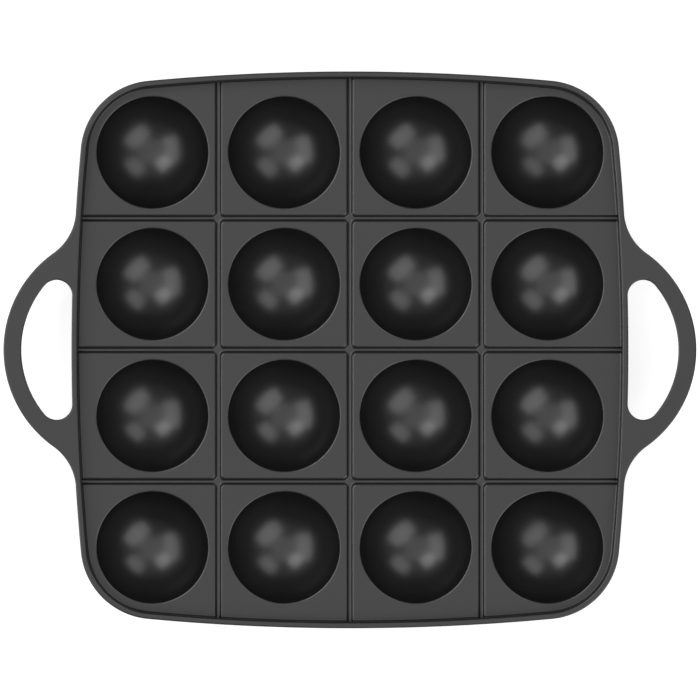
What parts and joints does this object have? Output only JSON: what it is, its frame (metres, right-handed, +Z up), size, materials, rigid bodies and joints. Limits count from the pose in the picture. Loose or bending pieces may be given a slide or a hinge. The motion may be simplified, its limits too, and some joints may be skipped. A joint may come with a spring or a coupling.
{
  "type": "takoyaki pan",
  "caption": "Square cast pan with rounded corners, a grid of hemispherical cups parted by shallow channels, an upright rim and a loop handle flush with the rim on each side.",
  "frame": {"origin": "middle of the pan, in the plane of the cup feet that it stands on", "axes": "+X towards the right handle, +Y towards the back row of cups, +Z up out of the cups"},
  "size_m": [0.2476, 0.1988, 0.0277],
  "materials": {
    "coated_casting": "satin charcoal non-stick coat over die-cast aluminium"
  },
  "bodies": {
    "root": {"cup_r1c1": "coated_casting", "cup_r1c2": "coated_casting", "cup_r1c3": "coated_casting", "cup_r1c4": "coated_casting", "cup_r2c1": "coated_casting", "cup_r2c2": "coated_casting", "cup_r2c3": "coated_casting", "cup_r2c4": "coated_casting", "cup_r3c1": "coated_casting", "cup_r3c2": "coated_casting", "cup_r3c3": "coated_casting", "cup_r3c4": "coated_casting", "cup_r4c1": "coated_casting", "cup_r4c2": "coated_casting", "cup_r4c3": "coated_casting", "cup_r4c4": "coated_casting", "rim_front": "coated_casting", "rim_back": "coated_casting", "rim_left": "coated_casting", "rim_right": "coated_casting", "handle_left": "coated_casting", "handle_right": "coated_casting"}
  },
  "joints": []
}
